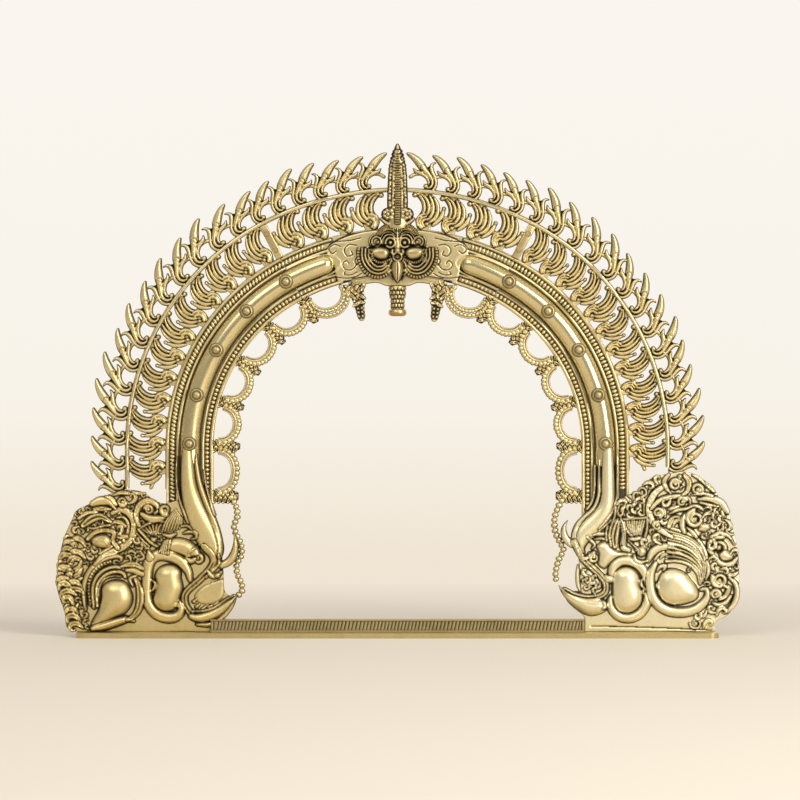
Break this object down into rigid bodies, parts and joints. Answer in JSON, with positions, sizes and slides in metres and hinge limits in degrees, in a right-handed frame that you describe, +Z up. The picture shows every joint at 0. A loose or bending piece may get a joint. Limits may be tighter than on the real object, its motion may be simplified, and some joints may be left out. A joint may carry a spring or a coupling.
{
  "type": "prabhavali",
  "caption": "Free-standing brass arched aureole with a moulded rail, openwork creeper, flame fringe, lion-mask crown, beaded garlands and two makara ends on a flat foot.",
  "frame": {"origin": "middle of the foot plate's underside", "axes": "+X across the arch to the viewer's right, +Z up, front towards -Y"},
  "size_m": [0.6003, 0.046, 0.4335],
  "materials": {
    "cast_brass": "aged cast brass with dark patina in the recesses",
    "worn_brass": "hand-worn satin brass",
    "dark_brass": "dull aged brass"
  },
  "bodies": {
    "root": {"foot_plate": "dark_brass", "cross_bar": "dark_brass", "left_makara": "cast_brass", "right_makara": "cast_brass", "left_rail": "cast_brass", "right_rail": "cast_brass", "crown_plate": "cast_brass", "left_bolster": "worn_brass", "right_bolster": "worn_brass", "left_outer_beading": "worn_brass", "left_inner_beading": "worn_brass", "right_outer_beading": "worn_brass", "right_inner_beading": "worn_brass", "left_creeper": "cast_brass", "right_creeper": "cast_brass", "crown_creeper_left": "cast_brass", "crown_creeper_right": "cast_brass", "left_rib": "worn_brass", "right_rib": "worn_brass", "crown_rib": "worn_brass", "left_flames": "cast_brass", "right_flames": "cast_brass", "crown_flames_left": "cast_brass", "crown_flames_right": "cast_brass", "left_strap": "dark_brass", "right_strap": "dark_brass", "left_garland": "dark_brass", "right_garland": "dark_brass", "crown_garland_left": "dark_brass", "crown_garland_right": "dark_brass", "left_garland_drop": "dark_brass", "right_garland_drop": "dark_brass", "kirtimukha_mask": "dark_brass", "crest_spire": "dark_brass", "mouth_pendant": "cast_brass", "left_bosses": "worn_brass", "right_bosses": "worn_brass", "strap_rivets": "dark_brass", "mask_rivets": "dark_brass", "makara_rivets": "dark_brass", "cross_bar_rivets": "dark_brass"}
  },
  "joints": []
}
